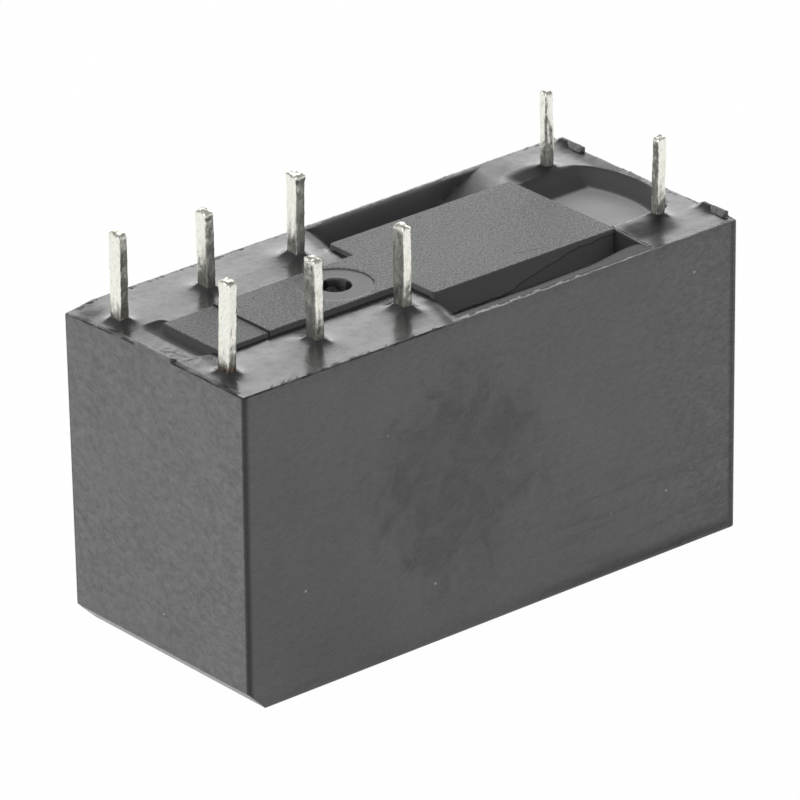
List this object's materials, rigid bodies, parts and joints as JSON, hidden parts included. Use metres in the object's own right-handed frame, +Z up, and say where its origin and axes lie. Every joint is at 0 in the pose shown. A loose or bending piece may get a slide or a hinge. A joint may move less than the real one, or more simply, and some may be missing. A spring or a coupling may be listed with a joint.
{
  "type": "pcb power relay",
  "caption": "Sealed box-shaped power relay for a circuit board, lying on its closed face with its solder pins up; inside, an armature and card switch the changeover contacts.",
  "frame": {"origin": "middle of the cover's closed face, on which the relay lies", "axes": "+X along the relay from the contact end to the coil end, +Y across it, +Z up along the pins"},
  "size_m": [0.0288, 0.0126, 0.0198],
  "materials": {
    "cover_plastic": "semi-matt moulded",
    "base_plastic": "spark-eroded texture",
    "resin": "glossy casting resin",
    "bobbin_plastic": "moulded",
    "card_plastic": "moulded",
    "copper": "enamelled copper wire",
    "tape": "polyester tape",
    "iron": "nickel-plated soft iron",
    "bronze": "spring bronze",
    "tinned": "hot-tinned copper alloy",
    "silver": "silver alloy"
  },
  "bodies": {
    "housing": {"cover": "cover_plastic", "base": "base_plastic", "sealing_resin": "resin", "vent_plug": "resin", "bobbin": "bobbin_plastic", "winding": "copper", "winding_tape": "tape", "core": "iron", "yoke": "iron", "armature_spring": "bronze", "coil_terminal_1": "tinned", "coil_terminal_2": "tinned", "coil_lead_1": "copper", "coil_lead_2": "copper", "no_terminal_1": "tinned", "no_terminal_2": "tinned", "no_contact_1": "silver", "no_contact_2": "silver", "com_terminal_1": "tinned", "com_terminal_2": "tinned", "nc_terminal_1": "tinned", "nc_terminal_2": "tinned", "nc_contact_1": "silver", "nc_contact_2": "silver"},
    "armature_flap": {"armature": "iron"},
    "card": {"actuator_card": "card_plastic"},
    "contact_1": {"contact_spring_1": "bronze", "moving_contact_1": "silver"},
    "contact_2": {"contact_spring_2": "bronze", "moving_contact_2": "silver"}
  },
  "joints": [
    {"name": "armature_hinge", "type": "hinge", "parent": "housing", "child": "armature_flap", "pos_m": [0.01062, 0, 0.01265], "axis": [0, 1, 0], "range_deg": [0, 3.32], "stiffness_Nm_per_rad": 0.05, "springref_deg": -3.44},
    {"name": "card_slide", "type": "slide", "parent": "housing", "child": "card", "axis": [-1, 0, 0], "range_m": [0, 0.0006485]},
    {"name": "contact_flex_1", "type": "hinge", "parent": "housing", "child": "contact_1", "pos_m": [-0.00859, 0, 0.0126], "axis": [0, 1, 0], "range_deg": [0, 3.33]},
    {"name": "contact_flex_2", "type": "hinge", "parent": "housing", "child": "contact_2", "pos_m": [-0.00859, 0, 0.0126], "axis": [0, 1, 0], "range_deg": [0, 3.33]}
  ],
  "couplings": [
    {"joint": "card_slide", "follows": "armature_hinge", "m_per_rad": 0.0112},
    {"joint": "contact_flex_1", "follows": "armature_hinge", "ratio": 1.0045},
    {"joint": "contact_flex_2", "follows": "armature_hinge", "ratio": 1.0045}
  ]
}
